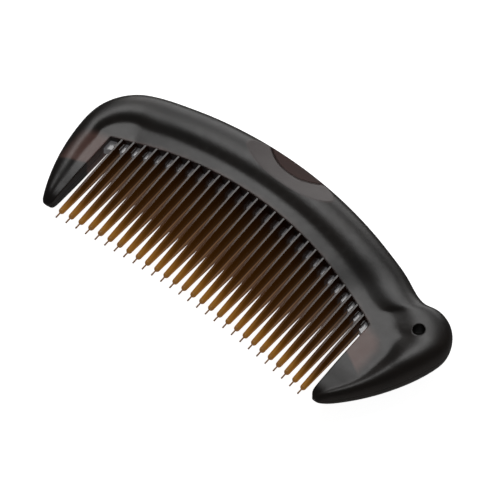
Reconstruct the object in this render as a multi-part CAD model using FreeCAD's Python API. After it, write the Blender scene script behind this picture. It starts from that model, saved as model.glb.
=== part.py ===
"""Thick-backed beard comb: two handle shells, a root strip, 28 keyed teeth and an oval inlay.

The comb lies flat.  X runs along the handle towards the hanging hole, Y runs from the tooth tips
to the spine, and Z runs through the thickness.  Everything is modelled about the comb's own
centre: X = 0 halfway along the tooth row, Z = 0 on the joint plane of the two shells.  The
finished solids are then moved so that the origin is the bottom centre of the bounding box.
"""
import FreeCAD, Part
import math
import os

V = FreeCAD.Vector
ALONG_X = V(1, 0, 0)
ALONG_Y = V(0, 1, 0)
ALONG_Z = V(0, 0, 1)

# ---- Teeth and the field that they stand in ---------------------------------------------------
TOOTH_COUNT = 28
PITCH = 3.75
SIDE_GAP = 3.675            # centre of an end tooth to the guard beside it
TOOTH_LENGTH = 40.55        # lip to nib end, at the middle
NIB_LENGTH = 2.0
NIB_RADIUS = 0.27
ROD_HALF_WIDTH = 1.03       # tooth beside its tip
ROD_HALF_DEPTH = 1.05
ROOT_HALF_WIDTH = 1.2       # tooth at the lip
CREST_HALF_WIDTH = 0.33     # flat front and back edges of the blade
CREST_SHARE = 0.4           # most of the half-width that those flats may take
FLANK_BULGE = 0.8           # share of the widening reached at half depth
DEPTH_LEAD = 1.95           # first slope of the half-depth, as a multiple of its mean slope
LIP_SETBACK = 0.25          # blade edges stay below the land by this much
TENON_LENGTH = 6.0
TENON_HALF_DEPTH = 3.0
FIELD_HALF = (TOOTH_COUNT - 1) / 2 * PITCH + SIDE_GAP

# ---- Arches, each by the height that it drops from the middle to the guards --------------------
SPINE_SAG = 10.1
LIP_SAG = 11.78
STRIP_SAG = 12.63           # lower edge of the root strip
NIB_SAG = 4.07

# ---- Handle outline in plan -------------------------------------------------------------------
LIP_TOP = 0.55              # Y of the lip at its middle
SPINE_DEPTH = 19.75         # lip to spine, at the middle
LEFT_GUARD_WIDTH = 11.9     # where the plain end is widest
WAIST_RISE = 1.93           # that place above the field's corner
HEAD_OFFSET = 14.0          # head's centre beyond the field
HEAD_DROP = 7.27            # head's centre below the line of the spine
HEAD_RADIUS = 11.0
NOTCH_RADIUS = 4.0          # hollow between the spine and the head
FLANK_RADIUS = 80.0         # outer edge of the head guard
GUARD_TIP_RADIUS = 2.2
GUARD_OVERHANG = 2.0        # guards reach past the middle nibs by this much

# ---- Handle thickness, all measured from the joint plane --------------------------------------
LAND_MIDDLE = 7.5           # flat land beside the teeth, at the middle of the spine
LAND_CORNER = 4.6           # the same land at the ends of the tooth row
LAND_GUARD = 4.2            # halfway down a guard
LAND_TIP = 2.7              # at a guard's tip
RISE_SPINE = 1.5            # ridge above the land
RISE_HEAD = 2.2
RISE_WAIST = 1.2
RISE_GUARD = 0.6
RISE_TIP = 0.3

# ---- Ridge: outer edge to crest, and crest to land ---------------------------------------------
CREST_SPINE, SLOPE_SPINE = 10.2, 6.6
CREST_SHOULDER, SLOPE_SHOULDER = 8.6, 6.4
CREST_WAIST, SLOPE_WAIST = 5.2, 3.6
CREST_LEFT_GUARD, SLOPE_LEFT_GUARD = 4.1, 3.2
CREST_NOTCH, SLOPE_NOTCH = 8.0, 9.6
CREST_HEAD, SLOPE_HEAD = 9.0, 13.0
CREST_FLANK, SLOPE_FLANK = 6.2, 11.0
CREST_RIGHT_TOP, SLOPE_RIGHT_TOP = 4.6, 7.2
CREST_RIGHT_GUARD, SLOPE_RIGHT_GUARD = 2.5, 3.0
CREST_TIP, SLOPE_TIP = 1.6, 1.0

# ---- Roundness of the section, as shares --------------------------------------------------------
EDGE_FULLNESS = 0.48        # height of the upright edge
HEAD_FULLNESS = 0.62        # the same, round the head and down its guard
DOME_START = (0.26, 0.87)   # of the crest's distance and height, where the dome begins
DOME_END = 0.76             # of the crest's distance, where the dome is nearly level
CREST_HOLD = 0.28           # of the slope, level beside the crest
LAND_HOLD = 0.28            # of the slope, level beside the land

# ---- Root strip -------------------------------------------------------------------------------
STRIP_HALF_THICK = 1.8
STRIP_DROP = 2.7            # strip below the lip at the middle
STRIP_COVER = 2.5           # strip above the tenons
STRIP_END_HOUSED = 1.8      # length let into each guard

# ---- Hanging hole, scoop and inlay ------------------------------------------------------------
HOLE_RADIUS = 2.05
SCOOP_RADIUS = 130.0
SCOOP_OUTER = (0.9, 4.3)    # below the spine's top and the ridge's height, where the scoop starts
SCOOP_INNER = (10.2, 0.5)   # the same, where it runs out beyond the crest
INLAY_HALF_LENGTH = 18.0
INLAY_BORDER = 2.4          # spine's face beside the inlay
INLAY_SEAT_DEPTH = 6.3      # from the spine's top to the pocket floor
PAD_THICK = 0.4

# ---- Locating pegs on the back shell ----------------------------------------------------------
PEG_RADIUS = 1.5
PEG_LENGTH = 2.5
PEG_SHARE = 0.66            # of the half-field, for the two pegs in the spine
GUARD_PEG_SHARE = 0.45      # of the way down a guard

# ---- Fits -------------------------------------------------------------------------------------
FIT_GAP = 0.05              # strip, tenons and pegs in the shells
END_GAP = 0.25              # ends of tenons, strip and pegs
INLAY_GAP = 0.15            # shadow line round the inlay

# ---- Building --------------------------------------------------------------------------------
BIG = 200.0                 # reach of cutting tools beyond the comb
JOINT_STOCK = 2.0           # sections reach this far below the joint plane before it is cut
INNER_MARGIN = 1.6          # and this far into the field before it is cut
TIP_EXIT_DEG = 12.0         # where a tip's circle hands over, short of touching the outer edge
ROOT_OVERLAP = 3.0          # blade above the lip before it is trimmed
FAN_STATIONS = 5
SPINE_STATIONS = 13
HEAD_STATIONS = 7
GUARD_STATIONS = 6
TIP_ROWS = (0.35, 0.62, 0.84, 0.97)     # shares of the last sections, round a guard's tip
GUARD_START = 5.0           # first level section below the waist
HEAD_GUARD_START = 4.0      # first level section below the field's corner
FAN_RAIL = ((3.2, -2.2), (9.0, 1.4))    # inner ends of the fan, from the field's left corner
HEAD_RAIL = ((6.0, 0.4), (1.6, -2.4))   # inner ends round the head, from its right corner
SPINE_RAIL = (9.5, 7.5)     # inner ends of the spine's first and last section, from the corners
BLADE_STATIONS = 6
ROD_END_TURNS = (20, 45, 70, 90)        # sections round the rod's end


def arch_y(x, top, radius):
    """Height of an arch of the given radius whose highest point is (0, top)."""
    return top - radius + math.sqrt(radius ** 2 - x ** 2)


def polar(centre, radius, degrees):
    """Point at a distance and direction from a centre in plan."""
    angle = math.radians(degrees)
    return V(centre.x + radius * math.cos(angle), centre.y + radius * math.sin(angle), 0)


def mix(a, b, share):
    return a + (b - a) * share


def ease(share):
    """Share from 0 to 1 with level ends."""
    return (1 - math.cos(math.pi * share)) / 2


def box(x0, x1, y0, y1, z0, z1):
    return Part.makeBox(x1 - x0, y1 - y0, z1 - z0, V(x0, y0, z0))


def prism(edges, z0, z1):
    """Solid between two heights from a closed run of plan edges."""
    face = Part.Face(Part.Wire(edges))
    face.translate(V(0, 0, z0))
    return face.extrude(V(0, 0, z1 - z0))


# ---- Outline geometry -------------------------------------------------------------------------
def arch_radius(sag):
    """Radius of an arch that drops by its sag from the middle of the field to the guards."""
    return (FIELD_HALF ** 2 + sag ** 2) / (2 * sag)


SPINE_TOP = LIP_TOP + SPINE_DEPTH
SPINE_RADIUS = arch_radius(SPINE_SAG)
LIP_RADIUS = arch_radius(LIP_SAG)
STRIP_RADIUS = arch_radius(STRIP_SAG)
NIB_LINE_TOP = LIP_TOP - TOOTH_LENGTH
NIB_LINE_RADIUS = arch_radius(NIB_SAG)
FIELD_CORNER_Y = LIP_TOP - LIP_SAG
LEFT_REACH = FIELD_HALF + LEFT_GUARD_WIDTH
WAIST_Y = FIELD_CORNER_Y + WAIST_RISE
HEAD_X = FIELD_HALF + HEAD_OFFSET
HEAD_CENTRE = V(HEAD_X, arch_y(HEAD_X, SPINE_TOP, SPINE_RADIUS) - HEAD_DROP, 0)
SPINE_CENTRE = V(0, SPINE_TOP - SPINE_RADIUS, 0)
TIP_Y = NIB_LINE_TOP - GUARD_OVERHANG + GUARD_TIP_RADIUS
LEFT_TIP = V(-FIELD_HALF - GUARD_TIP_RADIUS, TIP_Y, 0)
RIGHT_TIP = V(FIELD_HALF + GUARD_TIP_RADIUS, TIP_Y, 0)


def left_of(first, first_radius, second, second_radius):
    """Point at given distances from two others, on the left of the line from first to second."""
    span = second - first
    along = (first_radius ** 2 - second_radius ** 2 + span.Length ** 2) / (2 * span.Length)
    aside = math.sqrt(first_radius ** 2 - along ** 2)
    unit = span / span.Length
    return first + unit * along + V(-unit.y, unit.x, 0) * aside


def shoulder_radius():
    """Radius that touches the spine's arch and the vertical at the plain end's widest point."""
    drop = WAIST_Y - SPINE_CENTRE.y
    return (SPINE_RADIUS ** 2 - LEFT_REACH ** 2 - drop ** 2) / (2 * (SPINE_RADIUS - LEFT_REACH))


def left_guard_radius():
    """Radius that touches that vertical and the plain guard's tip circle."""
    across = LEFT_GUARD_WIDTH - GUARD_TIP_RADIUS
    drop = WAIST_Y - TIP_Y
    spread = 2 * (across - GUARD_TIP_RADIUS)
    return (across ** 2 - GUARD_TIP_RADIUS ** 2 + drop ** 2) / spread


SHOULDER_RADIUS = shoulder_radius()
SHOULDER_CENTRE = V(-LEFT_REACH + SHOULDER_RADIUS, WAIST_Y, 0)
LEFT_GUARD_RADIUS = left_guard_radius()
LEFT_GUARD_CENTRE = V(-LEFT_REACH + LEFT_GUARD_RADIUS, WAIST_Y, 0)
FLANK_CENTRE = left_of(RIGHT_TIP, FLANK_RADIUS - GUARD_TIP_RADIUS,
                       HEAD_CENTRE, FLANK_RADIUS - HEAD_RADIUS)
NOTCH_CENTRE = left_of(SPINE_CENTRE, SPINE_RADIUS + NOTCH_RADIUS,
                       HEAD_CENTRE, HEAD_RADIUS + NOTCH_RADIUS)


def heading(origin, target):
    """Direction in degrees from one plan point to another."""
    return math.degrees(math.atan2(target.y - origin.y, target.x - origin.x))


# ---- Handle surface ---------------------------------------------------------------------------
def profile(outer, inner, land, rise, ridge, fullness=EDGE_FULLNESS):
    """Closed section from the outer edge to the field, with stock below the joint plane.

    The ridge is the pair of widths from the edge to its crest and from the crest to the land.
    """
    inward = inner - outer
    width = inward.Length
    inward.normalize()
    crest_at, slope = ridge
    crest = land + rise
    land_at = crest_at + slope
    poles = [(0, 0), (0, fullness * crest),
             (DOME_START[0] * crest_at, DOME_START[1] * crest), (DOME_END * crest_at, crest),
             (crest_at + slope * CREST_HOLD, crest), (land_at - slope * LAND_HOLD, land),
             (land_at, land), ((land_at + width) / 2, land), (width, land)]
    curve = Part.BSplineCurve()
    curve.buildFromPoles([outer + inward * w + ALONG_Z * z for w, z in poles], False, 3)
    below = ALONG_Z * JOINT_STOCK
    side = Part.makeLine(outer - below, outer)
    lip = Part.makeLine(inner + ALONG_Z * land, inner - below)
    floor = Part.makeLine(inner - below, outer - below)
    return Part.Wire([side, curve.toShape(), lip, floor])


def pair_mix(first, second, share):
    """Mixes two pairs of widths."""
    return mix(first[0], second[0], share), mix(first[1], second[1], share)


def guard_sections(side, centre, radius, tip, top_y, rises, ridges, fullness):
    """Level sections down a guard, from top_y to its tip.

    Rises and ridges are given at the top, halfway down and at the tip.
    """
    wires = []
    round_y = tip.y + GUARD_TIP_RADIUS
    tip_y = tip.y - GUARD_TIP_RADIUS
    lands = (LAND_CORNER, LAND_GUARD, LAND_TIP)
    rows = [mix(top_y, round_y, step / GUARD_STATIONS) for step in range(GUARD_STATIONS + 1)]
    rows += [mix(round_y, tip_y, share) for share in TIP_ROWS]
    for y in rows:
        x = centre.x + side * math.sqrt(radius ** 2 - (y - centre.y) ** 2)
        halves = 2 * (top_y - y) / (top_y - tip_y)
        upper = min(int(halves), 1)
        share = halves - upper
        into_tip = max(round_y - y, 0) / (round_y - tip_y)
        shrink = math.sqrt(1 - into_tip ** 2)
        land = mix(lands[upper], lands[upper + 1], share) * shrink
        rise = mix(rises[upper], rises[upper + 1], share) * shrink
        ridge = pair_mix(ridges[upper], ridges[upper + 1], share)
        inner = V(side * (FIELD_HALF - INNER_MARGIN), y, 0)
        wires.append(profile(V(x, y, 0), inner, land, rise, ridge, fullness))
    return wires


def land_at(x):
    """Half-thickness of the land beside the tooth row."""
    reach = min(abs(x) / FIELD_HALF, 1)
    return mix(LAND_MIDDLE, LAND_CORNER, reach ** 2)


def fan_sections():
    """Sections that turn round the plain end's shoulder."""
    wires = []
    spine_start = heading(SPINE_CENTRE, SHOULDER_CENTRE)
    for step in range(FAN_STATIONS):
        share = step / FAN_STATIONS
        outer = polar(SHOULDER_CENTRE, SHOULDER_RADIUS, mix(180, spine_start, share))
        x = mix(FAN_RAIL[0][0], FAN_RAIL[1][0], ease(share)) - FIELD_HALF
        y = mix(FAN_RAIL[0][1], FAN_RAIL[1][1], share) + FIELD_CORNER_Y
        ridge = pair_mix((CREST_WAIST, SLOPE_WAIST), (CREST_SHOULDER, SLOPE_SHOULDER), share)
        rise = mix(RISE_WAIST, RISE_SPINE, share)
        wires.append(profile(outer, V(x, y, 0), LAND_CORNER, rise, ridge))
    return wires


def spine_sections():
    """Sections along the spine's arch."""
    wires = []
    start = heading(SPINE_CENTRE, SHOULDER_CENTRE)
    end = heading(SPINE_CENTRE, NOTCH_CENTRE)
    for step in range(SPINE_STATIONS + 1):
        share = step / SPINE_STATIONS
        outer = polar(SPINE_CENTRE, SPINE_RADIUS, mix(start, end, share))
        x = mix(SPINE_RAIL[0] - FIELD_HALF, FIELD_HALF - SPINE_RAIL[1], share)
        inner = V(x, arch_y(x, LIP_TOP - INNER_MARGIN, LIP_RADIUS), 0)
        reach = min(abs(outer.x) / FIELD_HALF, 1) ** 2
        ends = (CREST_NOTCH, SLOPE_NOTCH) if outer.x > 0 else (CREST_SHOULDER, SLOPE_SHOULDER)
        ridge = pair_mix((CREST_SPINE, SLOPE_SPINE), ends, reach)
        wires.append(profile(outer, inner, land_at(outer.x), RISE_SPINE, ridge))
    return wires


def head_sections():
    """Sections round the head, from the notch to the head guard's outer edge."""
    wires = []
    start = heading(HEAD_CENTRE, NOTCH_CENTRE)
    end = heading(FLANK_CENTRE, HEAD_CENTRE)
    ridges = ((CREST_NOTCH, SLOPE_NOTCH), (CREST_HEAD, SLOPE_HEAD), (CREST_FLANK, SLOPE_FLANK))
    for step in range(HEAD_STATIONS + 1):
        share = step / HEAD_STATIONS
        outer = polar(HEAD_CENTRE, HEAD_RADIUS, mix(start, end, share))
        x = FIELD_HALF - mix(HEAD_RAIL[0][0], HEAD_RAIL[1][0], share)
        y = FIELD_CORNER_Y + mix(HEAD_RAIL[0][1], HEAD_RAIL[1][1], share)
        half = min(int(2 * share), 1)
        ridge = pair_mix(ridges[half], ridges[half + 1], ease(2 * share - half))
        rise = mix(RISE_SPINE, RISE_HEAD, share)
        fullness = mix(EDGE_FULLNESS, HEAD_FULLNESS, ease(share))
        wires.append(profile(outer, V(x, y, 0), LAND_CORNER, rise, ridge, fullness))
    return wires


def handle_sections():
    """Sections of one half of the handle, from the plain guard's tip round to the head guard's."""
    left = guard_sections(
        -1, LEFT_GUARD_CENTRE, LEFT_GUARD_RADIUS, LEFT_TIP, WAIST_Y - GUARD_START,
        (RISE_WAIST, RISE_GUARD, RISE_TIP),
        ((CREST_WAIST, SLOPE_WAIST), (CREST_LEFT_GUARD, SLOPE_LEFT_GUARD), (CREST_TIP, SLOPE_TIP)),
        EDGE_FULLNESS)
    right = guard_sections(
        1, FLANK_CENTRE, FLANK_RADIUS, RIGHT_TIP, FIELD_CORNER_Y - HEAD_GUARD_START,
        (RISE_HEAD, RISE_GUARD, RISE_TIP),
        ((CREST_RIGHT_TOP, SLOPE_RIGHT_TOP), (CREST_RIGHT_GUARD, SLOPE_RIGHT_GUARD),
         (CREST_TIP, SLOPE_TIP)),
        HEAD_FULLNESS)
    return list(reversed(left)) + fan_sections() + spine_sections() + head_sections() + right


def field_prism():
    """Everything between the guards and below the lip."""
    low = V(0, -BIG, 0)
    left, right = V(-FIELD_HALF, FIELD_CORNER_Y, 0), V(FIELD_HALF, FIELD_CORNER_Y, 0)
    arch = Part.Arc(left, V(0, LIP_TOP, 0), right).toShape()
    edges = [arch, Part.makeLine(right, right + low), Part.makeLine(right + low, left + low),
             Part.makeLine(left + low, left)]
    return prism(edges, -BIG, BIG)


def keep_prism():
    """Plan area that the handle may fill: round both guard tips, outside the teeth's field."""
    def leave(tip, arc_centre, side):
        """Last point on a tip's circle and a far point straight ahead of it."""
        direction = heading(arc_centre, tip) - side * TIP_EXIT_DEG
        end = polar(tip, GUARD_TIP_RADIUS, direction)
        ahead = ALONG_Z.cross(end - tip).normalize() * side
        return end, end + ahead * BIG

    left_exit, left_far = leave(LEFT_TIP, LEFT_GUARD_CENTRE, -1)
    right_exit, right_far = leave(RIGHT_TIP, FLANK_CENTRE, 1)
    left_wall, left_corner = V(-FIELD_HALF, TIP_Y, 0), V(-FIELD_HALF, FIELD_CORNER_Y, 0)
    right_wall, right_corner = V(FIELD_HALF, TIP_Y, 0), V(FIELD_HALF, FIELD_CORNER_Y, 0)
    above = [V(right_far.x, BIG, 0), V(left_far.x, BIG, 0)]
    edges = [Part.Arc(left_exit, LEFT_TIP - V(0, GUARD_TIP_RADIUS, 0), left_wall).toShape(),
             Part.makeLine(left_wall, left_corner),
             Part.Arc(left_corner, V(0, LIP_TOP, 0), right_corner).toShape(),
             Part.makeLine(right_corner, right_wall),
             Part.Arc(right_wall, RIGHT_TIP - V(0, GUARD_TIP_RADIUS, 0), right_exit).toShape(),
             Part.makeLine(right_exit, right_far), Part.makeLine(right_far, above[0]),
             Part.makeLine(above[0], above[1]), Part.makeLine(above[1], left_far),
             Part.makeLine(left_far, left_exit)]
    return prism(edges, 0, BIG)


def scoop_cutter():
    """Large cylinder that hollows the spine's edge for a finger."""
    ridge = LAND_MIDDLE + RISE_SPINE
    outer = V(0, SPINE_TOP - SCOOP_OUTER[0], ridge - SCOOP_OUTER[1])
    inner = V(0, SPINE_TOP - SCOOP_INNER[0], ridge - SCOOP_INNER[1])
    along = (inner - outer).normalize()
    normal = ALONG_X.cross(along)
    if normal.z < 0:
        normal = normal * -1
    middle = (outer + inner) * 0.5
    start = middle + normal * SCOOP_RADIUS - along * BIG
    return Part.makeCylinder(SCOOP_RADIUS, 2 * BIG, start, along)


def handle_half():
    """Front half of the handle before any pockets."""
    half = Part.makeLoft(handle_sections(), True, False)
    return half.common(keep_prism()).cut(scoop_cutter())


# ---- Root strip -------------------------------------------------------------------------------
def lip_y(x):
    return arch_y(x, LIP_TOP, LIP_RADIUS)


def strip_prism(gap, half_thick):
    """Arched bar between the guards, grown by a gap on every side but its lower edge."""
    end_x = FIELD_HALF + STRIP_END_HOUSED + (END_GAP if gap else 0)
    lower_top = LIP_TOP - STRIP_DROP
    upper_top = LIP_TOP + TENON_LENGTH + STRIP_COVER + gap
    left_low = V(-end_x, arch_y(end_x, lower_top, STRIP_RADIUS) - gap, 0)
    right_low = V(end_x, left_low.y, 0)
    left_high = V(-end_x, arch_y(end_x, upper_top, LIP_RADIUS), 0)
    right_high = V(end_x, left_high.y, 0)
    lower = Part.Arc(left_low, V(0, lower_top - gap, 0), right_low).toShape()
    upper = Part.Arc(right_high, V(0, upper_top, 0), left_high).toShape()
    edges = [lower, Part.makeLine(right_low, right_high), upper,
             Part.makeLine(left_high, left_low)]
    return prism(edges, -half_thick, half_thick)


def tooth_x(index):
    return (index - (TOOTH_COUNT - 1) / 2) * PITCH


def tenon_box(x, side_gap, depth_gap, end_gap, floor_y):
    """Block that a tenon fills, or the pocket that takes it when the gaps aren't zero."""
    half_width = ROOT_HALF_WIDTH + side_gap
    half_depth = TENON_HALF_DEPTH + depth_gap
    return box(x - half_width, x + half_width, floor_y, lip_y(x) + TENON_LENGTH + end_gap,
               -half_depth, half_depth)


def root_strip():
    """Bar that holds the teeth at their pitch, open below for each of them."""
    strip = strip_prism(0, STRIP_HALF_THICK)
    slots = [tenon_box(tooth_x(i), FIT_GAP, 0, END_GAP, -BIG) for i in range(TOOTH_COUNT)]
    return strip.cut(Part.makeCompound(slots))


# ---- Teeth ------------------------------------------------------------------------------------
def blade_section(x, y, half_width, half_depth, shrink=1.0):
    """Six-sided section of a blade: flat front and back, two bowed faces on each flank."""
    wide, deep = half_width * shrink, half_depth * shrink
    crest = min(CREST_HALF_WIDTH, wide * CREST_SHARE)
    bulge = mix(crest, wide, FLANK_BULGE)

    def at(dx, dz):
        return V(x + dx, y, dz)

    edges = [Part.makeLine(at(-crest, deep), at(crest, deep)),
             Part.Arc(at(crest, deep), at(bulge, deep / 2), at(wide, 0)).toShape(),
             Part.Arc(at(wide, 0), at(bulge, -deep / 2), at(crest, -deep)).toShape(),
             Part.makeLine(at(crest, -deep), at(-crest, -deep)),
             Part.Arc(at(-crest, -deep), at(-bulge, -deep / 2), at(-wide, 0)).toShape(),
             Part.Arc(at(-wide, 0), at(-bulge, deep / 2), at(-crest, deep)).toShape()]
    return Part.Wire(edges)


def tooth(index, field):
    """One tooth: nib, rounded rod end, deepening blade and the tenon that keys it in."""
    x = tooth_x(index)
    nib_end = arch_y(x, NIB_LINE_TOP, NIB_LINE_RADIUS)
    rod_end = nib_end + NIB_LENGTH
    length = lip_y(x) - rod_end - ROD_HALF_WIDTH
    growth = (land_at(x) - LIP_SETBACK - ROD_HALF_DEPTH) / length

    rod_rows = [(rod_end + ROD_HALF_WIDTH * (1 - math.cos(math.radians(turn))),
                 math.sin(math.radians(turn))) for turn in ROD_END_TURNS]
    rod = Part.makeLoft([blade_section(x, y, ROD_HALF_WIDTH, ROD_HALF_DEPTH, shrink)
                         for y, shrink in rod_rows], True, False)
    rows = []
    for step in range(BLADE_STATIONS + 1):
        up = mix(0, length + ROOT_OVERLAP - ROD_HALF_WIDTH, step / BLADE_STATIONS)
        depth = ROD_HALF_DEPTH + growth * up * mix(DEPTH_LEAD, 1, up / length)
        width = mix(ROD_HALF_WIDTH, ROOT_HALF_WIDTH, min(up / length, 1))
        rows.append(blade_section(x, rod_end + ROD_HALF_WIDTH + up, width, depth))
    blade = Part.makeLoft(rows, True, False).common(field).fuse(rod)
    nib = Part.makeCylinder(NIB_RADIUS, NIB_LENGTH + ROD_HALF_WIDTH, V(x, nib_end, 0), ALONG_Y)
    tenon = tenon_box(x, 0, 0, 0, lip_y(x) - ROOT_OVERLAP)
    return blade.fuse([nib, tenon]).removeSplitter()


# ---- Inlay ------------------------------------------------------------------------------------
def oval_prism(gap, low_y):
    """Oval column standing on the spine's top, along Y."""
    half_length = INLAY_HALF_LENGTH + gap
    half_width = LAND_MIDDLE + RISE_SPINE - INLAY_BORDER + gap
    oval = Part.Ellipse(V(0, low_y, 0), half_length, half_width)
    oval.Axis = ALONG_Y
    oval.XAxis = ALONG_X
    face = Part.Face(Part.Wire(oval.toShape()))
    return face.extrude(ALONG_Y * BIG)


def mirrored(shape):
    return shape.mirror(V(0, 0, 0), ALONG_Z)


def pegs(radius, length):
    """Locating pegs rising from the joint plane."""
    x = FIELD_HALF * PEG_SHARE
    strip_top = lip_y(x) + TENON_LENGTH + STRIP_COVER
    spine_y = (strip_top + arch_y(x, SPINE_TOP, SPINE_RADIUS)) / 2
    guard_y = mix(FIELD_CORNER_Y, TIP_Y, GUARD_PEG_SHARE)
    places = [(-x, spine_y), (x, spine_y), (-(FIELD_HALF + LEFT_REACH) / 2, guard_y),
              (HEAD_X - HEAD_RADIUS / 2, guard_y + HEAD_RADIUS / 2)]
    return [Part.makeCylinder(radius, length, V(x, y, 0)) for x, y in places]


def build():
    """All the solids by node name, about the comb's own centre."""
    field = field_prism()
    floor_y = SPINE_TOP - INLAY_SEAT_DEPTH
    half = handle_half()
    whole = half.fuse(mirrored(half))

    pockets = [tenon_box(tooth_x(i), FIT_GAP, FIT_GAP, END_GAP, lip_y(tooth_x(i)) - PITCH)
               for i in range(TOOTH_COUNT)]
    hole = Part.makeCylinder(HOLE_RADIUS, 2 * BIG, HEAD_CENTRE - ALONG_Z * BIG)
    seat = oval_prism(INLAY_GAP, floor_y)
    tools = [strip_prism(FIT_GAP, STRIP_HALF_THICK + FIT_GAP), hole, seat] + pockets
    front = half.cut(tools)
    back = mirrored(front)
    front = front.cut(pegs(PEG_RADIUS + FIT_GAP, PEG_LENGTH + END_GAP))
    back = back.fuse(pegs(PEG_RADIUS, PEG_LENGTH))

    solids = {"handle_front_shell": front, "handle_back_shell": back, "root_strip": root_strip()}
    for index in range(TOOTH_COUNT):
        solids[f"tooth_{index + 1:02d}"] = tooth(index, field)
    column = oval_prism(0, floor_y)
    solids["inlay_pad"] = column.common(box(-BIG, BIG, floor_y, floor_y + PAD_THICK, -BIG, BIG))
    solids["spine_inlay"] = oval_prism(0, floor_y + PAD_THICK).common(whole)
    return solids


def main():
    os.makedirs("parts", exist_ok=True)
    solids = build()
    bounds = Part.makeCompound(list(solids.values())).optimalBoundingBox(False, False)
    shift = V(-bounds.Center.x, -bounds.Center.y, -bounds.ZMin)
    for name, shape in solids.items():
        shape = shape.Solids[0] if len(shape.Solids) == 1 else shape
        shape.translate(shift)
        print(name, shape.ShapeType, shape.isValid(), round(shape.Volume, 1))
        shape.exportStep(f"parts/{name}.step")
    print("origin moved by", shift)


if __name__ == "__main__":
    main()
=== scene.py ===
"""Looks, light and camera for a thick-backed beard comb with 28 amber teeth.

The comb lies flat on a pale table.  X runs along the handle towards the hanging hole, Y from the
tooth tips to the spine and Z through the thickness.  Lengths are metres.
"""
import logging
import math
from dataclasses import dataclass
from enum import Enum
from typing import Mapping, Sequence, Union

import bpy
from mathutils import Matrix, Vector


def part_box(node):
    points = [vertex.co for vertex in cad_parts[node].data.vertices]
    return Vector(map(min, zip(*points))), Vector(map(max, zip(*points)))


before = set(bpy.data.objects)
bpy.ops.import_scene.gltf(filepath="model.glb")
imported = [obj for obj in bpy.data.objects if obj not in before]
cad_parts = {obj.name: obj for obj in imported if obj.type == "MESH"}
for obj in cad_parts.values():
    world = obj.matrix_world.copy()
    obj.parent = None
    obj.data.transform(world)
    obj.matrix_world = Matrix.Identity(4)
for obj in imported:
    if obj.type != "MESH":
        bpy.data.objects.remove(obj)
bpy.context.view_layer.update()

LOG = logging.getLogger("beard_comb")
MM = 0.001

Colour = tuple[float, float, float]
Triple = tuple[float, float, float]
Number = Union["Link", float]
Value = Union["Link", float, Sequence[float]]
Stops = tuple[tuple[float, Colour], ...]


class Finish(Enum):
    """Names of the finishes: the comb's five material slots and the table's paper."""

    HANDLE = "handle_resin"
    TOOTH = "tooth_resin"
    STRIP = "strip_resin"
    CAP = "inlay_resin"
    GLUE = "adhesive"
    TABLE = "table_paper"


class Link:
    """A shader socket whose arithmetic adds Math nodes."""

    def __init__(self, bench: "Bench", socket: bpy.types.NodeSocket) -> None:
        """Remembers the bench that the socket's node stands on."""
        self.bench = bench
        self.socket = socket

    def math(self, operation: str, *others: Number) -> "Link":
        """Adds one Math node.

        Args:
            operation: The Math node's operation.
            others: Its second and third values.

        Returns:
            The node's result.
        """
        values = {place: value for place, value in enumerate((self, *others))}
        return self.bench.node("ShaderNodeMath", {"operation": operation}, values)

    def __add__(self, other: Number) -> "Link":
        """Sum."""
        return self.math("ADD", other)

    __radd__ = __add__

    def __mul__(self, other: Number) -> "Link":
        """Product."""
        return self.math("MULTIPLY", other)

    __rmul__ = __mul__

    def __sub__(self, other: Number) -> "Link":
        """Difference."""
        return self.math("SUBTRACT", other)

    def __rsub__(self, other: Number) -> "Link":
        """Reflected difference, so that 1 - mask works."""
        return self.math("MULTIPLY_ADD", -1.0, other)

    def __truediv__(self, other: Number) -> "Link":
        """Quotient."""
        return self.math("DIVIDE", other)

    def __abs__(self) -> "Link":
        """Size without sign."""
        return self.math("ABSOLUTE")

    def root(self) -> "Link":
        """Square root."""
        return self.math("SQRT")

    def ramp(self, low: float, high: float) -> "Link":
        """Eases from 0 at low to 1 at high.

        Args:
            low: Value that gives 0.
            high: Value that gives 1; it may be the smaller one.

        Returns:
            The eased share.
        """
        inputs = {"Value": self, "From Min": low, "From Max": high}
        return self.bench.node("ShaderNodeMapRange", {"interpolation_type": "SMOOTHSTEP"}, inputs)


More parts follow.
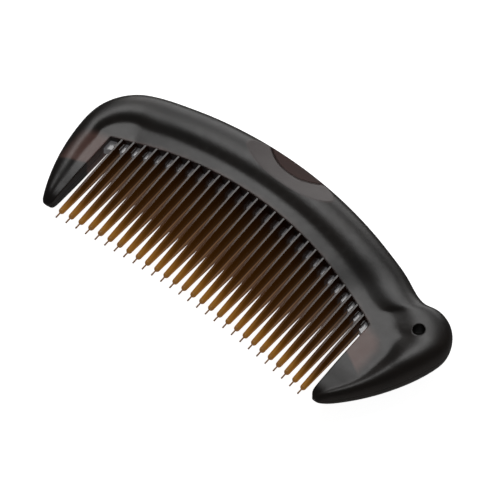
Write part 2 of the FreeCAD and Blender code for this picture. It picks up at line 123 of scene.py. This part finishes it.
class Bench:
    """A material under construction: its node tree and the one method that adds any node."""

    def __init__(self, finish: Finish) -> None:
        """Starts an empty material.

        Args:
            finish: What the material is named after.
        """
        self.material = bpy.data.materials.new(finish.value)
        self.material.use_nodes = True
        self.tree = self.material.node_tree
        self.tree.nodes.clear()
        self._axes: dict[str, Link] = {}

    def node(
        self,
        kind: str,
        settings: Mapping[str, object] | None = None,
        inputs: Mapping[str | int, Value] | None = None,
        output: str | int = 0,
    ) -> Link:
        """Adds a node.

        Args:
            kind: The node's type.
            settings: Its own settings; "stops" are a colour ramp's (place, colour) pairs.
            inputs: Values or links of its sockets, by name or number.
            output: The socket to return.

        Returns:
            That output.
        """
        made = self.tree.nodes.new(kind)
        for key, setting in (settings or {}).items():
            if key == "stops":
                self._set_stops(made.color_ramp, setting)
            else:
                setattr(made, key, setting)
        for key, value in (inputs or {}).items():
            if isinstance(value, Link):
                self.tree.links.new(value.socket, made.inputs[key])
            else:
                made.inputs[key].default_value = value
        return Link(self, made.outputs[output]) if made.outputs else Link(self, made.inputs[0])

    @staticmethod
    def _set_stops(ramp: bpy.types.ColorRamp, stops: Sequence[tuple[float, Colour]]) -> None:
        """Gives a colour ramp its stops.

        Args:
            ramp: The ramp, which starts with two.
            stops: Place and colour of each stop, in order.
        """
        while len(ramp.elements) < len(stops):
            ramp.elements.new(0.5)
        for element, (place, colour) in zip(ramp.elements, stops):
            element.position = place
            element.color = (*colour, 1.0)

    def place(self) -> Link:
        """Object coordinates."""
        return self.node("ShaderNodeTexCoord", output="Object")

    def axis(self, name: str) -> Link:
        """One object coordinate in millimetres.

        Args:
            name: X, Y or Z.

        Returns:
            The coordinate.
        """
        if name not in self._axes:
            split = self.node("ShaderNodeSeparateXYZ", inputs={0: self.place()}, output=name)
            self._axes[name] = split * (1 / MM)
        return self._axes[name]

    def noise(self, per_mm: float, detail: float = 2.0, stretch: Triple = (1, 1, 1)) -> Link:
        """Cloudy noise from 0 to 1.

        Args:
            per_mm: Features per millimetre.
            detail: Octaves.
            stretch: Scale along each axis.

        Returns:
            The noise.
        """
        scaled = self.node("ShaderNodeMapping", inputs={"Vector": self.place(), "Scale": stretch})
        inputs = {"Vector": scaled, "Scale": per_mm / MM, "Detail": detail}
        return self.node("ShaderNodeTexNoise", inputs=inputs)

    def blend(self, share: Number, first: Value, second: Value) -> Link:
        """Mixes two colours.

        Args:
            share: 0 for the first, 1 for the second.
            first: A colour.
            second: Another.

        Returns:
            The mixed colour.
        """
        pair = [(*c, 1.0) if not isinstance(c, Link) else c for c in (first, second)]
        inputs = {0: share, 6: pair[0], 7: pair[1]}
        return self.node("ShaderNodeMix", {"data_type": "RGBA"}, inputs, output=2)

    def relief(self, height: Link, depth_mm: float, under: Link | None = None) -> Link:
        """Bump normal.

        Args:
            height: Height from 0 to 1.
            depth_mm: What 1 stands for.
            under: A normal that this one adds to.

        Returns:
            The normal.
        """
        inputs: dict[str | int, Value] = {"Height": height, "Distance": depth_mm * MM}
        if under is not None:
            inputs["Normal"] = under
        return self.node("ShaderNodeBump", inputs=inputs)

    def rounded(self, radius_mm: float) -> Link:
        """Normal that eases sharp edges.

        Args:
            radius_mm: The edges' radius.

        Returns:
            The normal.
        """
        return self.node("ShaderNodeBevel", {"samples": 6}, {"Radius": radius_mm * MM})

    def finish(self, **inputs: Value) -> bpy.types.Material:
        """Closes the material with its surface shader.

        Args:
            inputs: The shader's sockets, with underscores for spaces.

        Returns:
            The material.
        """
        named = {key.replace("_", " "): value for key, value in inputs.items()}
        surface = self.node("ShaderNodeBsdfPrincipled", inputs=named)
        self.node("ShaderNodeOutputMaterial", inputs={"Surface": surface})
        return self.material


@dataclass(frozen=True)
class Plan:
    """The comb's main lines, which the finishes follow, in millimetres."""

    row_x: float
    joint_z: float
    lip_y: float
    lip_radius: float = 131.0
    tenon_length: float = 6.0
    field_half: float = 54.3
    spine_depth: float = 19.75
    hollow_radius: float = 130.0
    hollow_z: float = 4.7
    hollow_drop: float = 0.9
    hollow_tilt: tuple[float, float] = (0.378, 0.926)

    @property
    def hollow_y(self) -> float:
        """Where the spine's hollows start."""
        return self.lip_y + self.spine_depth - self.hollow_drop

    @classmethod
    def read(cls) -> "Plan":
        """Takes the lines' places from the strip and the middle tooth."""
        low, high = (Vector(corner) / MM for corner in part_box("root_strip"))
        middle = (low + high) / 2
        tooth_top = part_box("tooth_14")[1][1] / MM
        return cls(middle.x, middle.z, tooth_top - cls.tenon_length)

    def below_lip(self, bench: Bench) -> Link:
        """Distance below the arched lip in millimetres, along Y."""
        across = bench.axis("X") - self.row_x
        arch = (self.lip_radius**2 - across * across).root() - self.lip_radius
        return arch + self.lip_y - bench.axis("Y")


@dataclass(frozen=True)
class HandleResin:
    """Satin near-black brown resin with faint horn-like clouds."""

    plan: Plan
    dark: Colour = (0.0038, 0.0026, 0.0018)
    light: Colour = (0.0082, 0.0054, 0.0038)
    blush: Colour = (0.1300, 0.0680, 0.0560)
    blush_share: float = 0.8
    blush_top: tuple[float, float] = (-2.0, 3.0)        # below the lip, where a patch fades in
    blush_end: tuple[float, float] = (12.8, 11.4)       # and where it is cut off
    blush_side: tuple[float, float] = (64.0, 59.5)      # from the middle of the row
    blush_wander: float = 4.0
    hollow_edge: tuple[float, float] = (0.25, 0.08)
    hollow: Colour = (0.0210, 0.0105, 0.0090)
    roughness: float = 0.37
    specular: float = 0.36
    edge_radius: float = 0.8
    swell_depth: float = 0.02
    grain_depth: float = 0.004

    def guard_blush(self, bench: Bench) -> Link:
        """Mask of the paler brown patches on the two guards, cut off sharply below."""
        across = abs(bench.axis("X") - self.plan.row_x)
        below = self.plan.below_lip(bench)
        ragged = bench.noise(0.16, 3.0) * self.blush_wander - self.blush_wander / 2
        upper = (below + ragged).ramp(*self.blush_top)
        lower = (below + ragged * 0.2).ramp(*self.blush_end)
        return upper * lower * (across + ragged * 0.4).ramp(*self.blush_side)

    def finger_hollow(self, bench: Bench) -> Link:
        """Mask of the two hollows that are cut into the spine, each a shallow cylinder."""
        plan = self.plan
        across = bench.axis("X") - plan.row_x
        swell = plan.hollow_radius - (plan.hollow_radius**2 - across * across).root()
        back = (bench.axis("Y") - plan.hollow_y) * plan.hollow_tilt[0]
        up = (abs(bench.axis("Z") - plan.joint_z) - plan.hollow_z) * plan.hollow_tilt[1]
        return abs(back + up - swell).ramp(*self.hollow_edge)

    def make(self) -> bpy.types.Material:
        """Returns the material."""
        bench = Bench(Finish.HANDLE)
        cloud = bench.noise(0.045, 3.0, (1.0, 1.7, 1.0))
        colour = bench.blend(cloud.ramp(0.35, 0.7), self.dark, self.light)
        colour = bench.blend(self.guard_blush(bench) * self.blush_share, colour, self.blush)
        colour = bench.blend(self.finger_hollow(bench), colour, self.hollow)
        grain = bench.noise(5.0, 3.0)
        rough = self.roughness + (bench.noise(0.35, 3.0) - 0.5) * 0.10 + (grain - 0.5) * 0.06
        soft = bench.relief(bench.noise(0.25), self.swell_depth, bench.rounded(self.edge_radius))
        normal = bench.relief(grain, self.grain_depth, soft)
        return bench.finish(Base_Color=colour, Roughness=rough, Normal=normal,
                            Specular_IOR_Level=self.specular)


@dataclass(frozen=True)
class ToothResin:
    """Glossy amber resin: nearly black where a tooth is deep, honey-coloured at its rod end.

    The resin is opaque here.  Its emission is painted light that stands in for the light real amber
    lets through: a bright seam line along the joint plane and a body light that is stronger in the
    lower half, both stronger towards the rod end.
    """

    plan: Plan
    flank: Stops = (
        (0.00, (0.0060, 0.0022, 0.0012)),
        (0.30, (0.0200, 0.0055, 0.0012)),
        (0.62, (0.0450, 0.0150, 0.0020)),
        (0.78, (0.1150, 0.0450, 0.0060)),
        (0.90, (0.2300, 0.1100, 0.0200)),
        (1.00, (0.1500, 0.0800, 0.0400)),
    )
    # Painted light: emission colour of the seam line, by share of the length.
    seam_painted_light: Stops = (
        (0.00, (0.0200, 0.0090, 0.0030)),
        (0.16, (0.0550, 0.0250, 0.0080)),
        (0.31, (0.0800, 0.0380, 0.0110)),
        (0.46, (0.1100, 0.0520, 0.0180)),
        (0.61, (0.1250, 0.0570, 0.0160)),
        (0.76, (0.1450, 0.0620, 0.0140)),
        (0.90, (0.1500, 0.0600, 0.0090)),
        (1.00, (0.0300, 0.0150, 0.0060)),
    )
    # Painted light: emission colour of the tooth's body, by share of the length.
    body_painted_light: Stops = (
        (0.04, (0.0060, 0.0018, 0.0005)),
        (0.16, (0.0200, 0.0070, 0.0010)),
        (0.31, (0.0350, 0.0125, 0.0018)),
        (0.50, (0.0460, 0.0165, 0.0022)),
        (0.61, (0.0560, 0.0200, 0.0028)),
        (0.76, (0.0650, 0.0250, 0.0030)),
        (0.88, (0.1200, 0.0480, 0.0060)),
        (0.96, (0.0900, 0.0400, 0.0080)),
        (1.00, (0.0200, 0.0100, 0.0060)),
    )
    length: float = 40.5            # lip to nib end in the middle
    shortening: float = 7.7         # of the teeth beside the guards
    seam_half: float = 0.50
    seam_fade: tuple[float, float] = (0.25, -0.10)      # beyond the seam's half-width
    below_fade: tuple[float, float] = (0.3, -0.9)       # heights between the two halves' painted light
    tip_fade: tuple[float, float] = (0.60, 0.86)        # share of the length, where both halves get the full painted light
    upper_share: float = 0.4                            # of the painted light, above the joint plane
    streak_share: float = 0.16
    specular: float = 0.30
    edge_radius: float = 0.15
    streak_depth: float = 0.02

    def make(self) -> bpy.types.Material:
        """Returns the material."""
        bench = Bench(Finish.TOOTH)
        reach = (bench.axis("X") - self.plan.row_x) * (1 / self.plan.field_half)
        down = self.plan.below_lip(bench) / (self.length - reach * reach * self.shortening)
        streaks = bench.noise(0.5, 3.0, (1.0, 0.18, 1.0))
        streaked = down + (streaks - 0.5) * self.streak_share
        flank = bench.node("ShaderNodeValToRGB", {"stops": self.flank}, {"Fac": streaked})
        seam = bench.node("ShaderNodeValToRGB", {"stops": self.seam_painted_light}, {"Fac": down})
        body = bench.node("ShaderNodeValToRGB", {"stops": self.body_painted_light}, {"Fac": streaked})
        height = bench.axis("Z") - self.plan.joint_z
        # Painted light: the lower half gets more of the body light than the upper, and both get all
        # of it near the rod end.
        lower = (height.ramp(*self.below_fade) + down.ramp(*self.tip_fade)).math("MINIMUM", 1.0)
        line = abs(height).ramp(*(self.seam_half + fade for fade in self.seam_fade))
        painted_light_share = lower * (1 - self.upper_share) + self.upper_share
        # Painted light: the body's emission colour, scaled by that share.
        deep = bench.blend(painted_light_share, (0.0, 0.0, 0.0), body)
        rough = 0.20 + bench.noise(0.9, 2.0) * 0.08
        normal = bench.relief(streaks, self.streak_depth, bench.rounded(self.edge_radius))
        # The emission is painted light: seam line and body light in place of light passing through
        # amber.
        return bench.finish(Base_Color=flank, Roughness=rough, Normal=normal,
                            Specular_IOR_Level=self.specular,
                            Emission_Color=bench.blend(line, deep, seam), Emission_Strength=1.0)


@dataclass(frozen=True)
class PlainResin:
    """Resin with soft clouds between two tones, a fine skin and an emission colour for painted
    light.
    """

    finish: Finish
    dark: Colour
    light: Colour
    roughness: float
    specular: float
    # Emission colour; on the strip it is painted reflection.
    painted_glow: Colour = (0.0, 0.0, 0.0)
    grain_depth: float = 0.004

    def make(self) -> bpy.types.Material:
        """Returns the material."""
        bench = Bench(self.finish)
        cloud = bench.noise(0.12, 3.0, (0.6, 1.0, 1.0))
        grain = bench.noise(6.0, 2.0)
        colour = bench.blend(cloud.ramp(0.3, 0.7), self.dark, self.light)
        rough = self.roughness + (cloud - 0.5) * 0.10
        return bench.finish(Base_Color=colour, Roughness=rough, Specular_IOR_Level=self.specular,
                            Normal=bench.relief(grain, self.grain_depth),
                            Emission_Color=(*self.painted_glow, 1.0), Emission_Strength=1.0)


# The strip's pale grey tones and its emission are painted reflection: they stand in for the pale
# table mirrored in the glossy strip between the teeth.
STRIP_RESIN = PlainResin(Finish.STRIP, dark=(0.085, 0.083, 0.085), light=(0.130, 0.127, 0.130),
                         roughness=0.22, specular=0.6, painted_glow=(0.062, 0.061, 0.064))
CAP_RESIN = PlainResin(Finish.CAP, dark=(0.022, 0.0090, 0.0075), light=(0.034, 0.0140, 0.0110),
                       roughness=0.45, specular=0.10)
GLUE = PlainResin(Finish.GLUE, dark=(0.050, 0.040, 0.030), light=(0.070, 0.055, 0.040),
                  roughness=0.60, specular=0.3)


class Dresser:
    """Puts a finish on CAD nodes."""

    @staticmethod
    def dress(nodes: Sequence[str], material: bpy.types.Material) -> None:
        """Gives nodes a material.

        Args:
            nodes: Their names.
            material: What they wear.
        """
        for name in nodes:
            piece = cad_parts[name]
            piece.data.materials.clear()
            piece.data.materials.append(material)
            LOG.info("dressed %s in %s", name, material.name)


@dataclass
class Handle:
    """The two shells of the handle."""

    plan: Plan

    def build(self) -> None:
        """Dresses both shells."""
        Dresser.dress(["handle_front_shell", "handle_back_shell"], HandleResin(self.plan).make())


@dataclass
class ToothRow:
    """The keyed teeth and the strip that spaces them."""

    plan: Plan

    def build(self) -> None:
        """Dresses the teeth and the strip."""
        teeth = sorted(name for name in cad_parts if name.startswith("tooth_"))
        Dresser.dress(teeth, ToothResin(self.plan).make())
        Dresser.dress(["root_strip"], STRIP_RESIN.make())


@dataclass
class SpineCap:
    """The oval cap on the spine and the glue under it."""

    def build(self) -> None:
        """Dresses the cap and its pad."""
        Dresser.dress(["spine_inlay"], CAP_RESIN.make())
        Dresser.dress(["inlay_pad"], GLUE.make())


@dataclass(frozen=True)
class SoftBox:
    """A square lamp that faces the comb: where it hangs, its reach, side and power."""

    name: str
    direction: Triple
    reach: float
    size: float
    watts: float

    def hang(self) -> None:
        """Adds the lamp."""
        bpy.ops.object.light_add(type="AREA")
        lamp = bpy.context.object
        lamp.name = self.name
        lamp.data.size = self.size
        lamp.data.energy = self.watts
        towards = Vector(self.direction).normalized()
        turn = towards.to_track_quat("Z", "Y").to_matrix().to_4x4()
        lamp.matrix_world = Matrix.Translation(towards * self.reach) @ turn


@dataclass
class Studio:
    """Pale table, soft boxes and the camera."""

    overhead: SoftBox = SoftBox("overhead_box", (-0.30, 0.36, 0.88), 1.6, 0.75, 11.0)
    window: SoftBox = SoftBox("window_side", (-0.40, 0.85, 0.29), 1.8, 1.3, 16.0)
    azimuth: float = 39.31
    elevation: float = 62.35
    distance: float = 2.875
    target: Triple = (-0.00078, -0.00121, 0.00888)
    lens: float = 638.0
    floor_size: float = 8.0
    floor_glow: float = 0.95
    paper_dark: Colour = (0.52, 0.52, 0.52)
    paper_light: Colour = (0.54, 0.54, 0.54)
    sky_strength: float = 0.12

    def floor(self) -> None:
        """Lays the table."""
        bpy.ops.mesh.primitive_plane_add(size=self.floor_size)
        table = bpy.context.object
        table.name = "table_top"
        bench = Bench(Finish.TABLE)
        tone = bench.blend(bench.noise(0.02), self.paper_dark, self.paper_light)
        paper = bench.finish(Base_Color=tone, Roughness=0.9, Specular_IOR_Level=0.0,
                             Emission_Color=(1.0, 1.0, 1.0, 1.0), Emission_Strength=self.floor_glow)
        table.data.materials.append(paper)
        table.visible_glossy = False

    def sky(self) -> None:
        """Soft light from all round."""
        world = bpy.data.worlds.new("studio_air")
        world.use_nodes = True
        background = world.node_tree.nodes["Background"]
        background.inputs["Color"].default_value = (1.0, 1.0, 1.0, 1.0)
        background.inputs["Strength"].default_value = self.sky_strength
        bpy.context.scene.world = world

    def camera(self) -> None:
        """Sets the camera up."""
        azimuth, elevation = math.radians(self.azimuth), math.radians(self.elevation)
        back = Vector((math.sin(azimuth) * math.cos(elevation),
                       -math.cos(azimuth) * math.cos(elevation), math.sin(elevation)))
        right = Vector((math.cos(azimuth), math.sin(azimuth), 0.0))
        turn = Matrix((right, back.cross(right), back)).transposed().to_4x4()
        bpy.ops.object.camera_add()
        eye = bpy.context.object
        eye.name = "main_camera"
        eye.data.lens = self.lens
        eye.matrix_world = Matrix.Translation(Vector(self.target) + back * self.distance) @ turn
        bpy.context.scene.camera = eye

    def build(self) -> None:
        """Sets the whole studio up."""
        bpy.ops.object.select_all(action="DESELECT")
        self.floor()
        self.sky()
        self.overhead.hang()
        self.window.hang()
        self.camera()
        bpy.context.scene.view_settings.view_transform = "Standard"
        LOG.info("studio ready")


def main() -> None:
    """Builds the comb's looks in order."""
    logging.basicConfig(level=logging.INFO, format="%(message)s")
    plan = Plan.read()
    for part in (Handle(plan), ToothRow(plan), SpineCap(), Studio()):
        part.build()


if __name__ == "__main__":
    main()
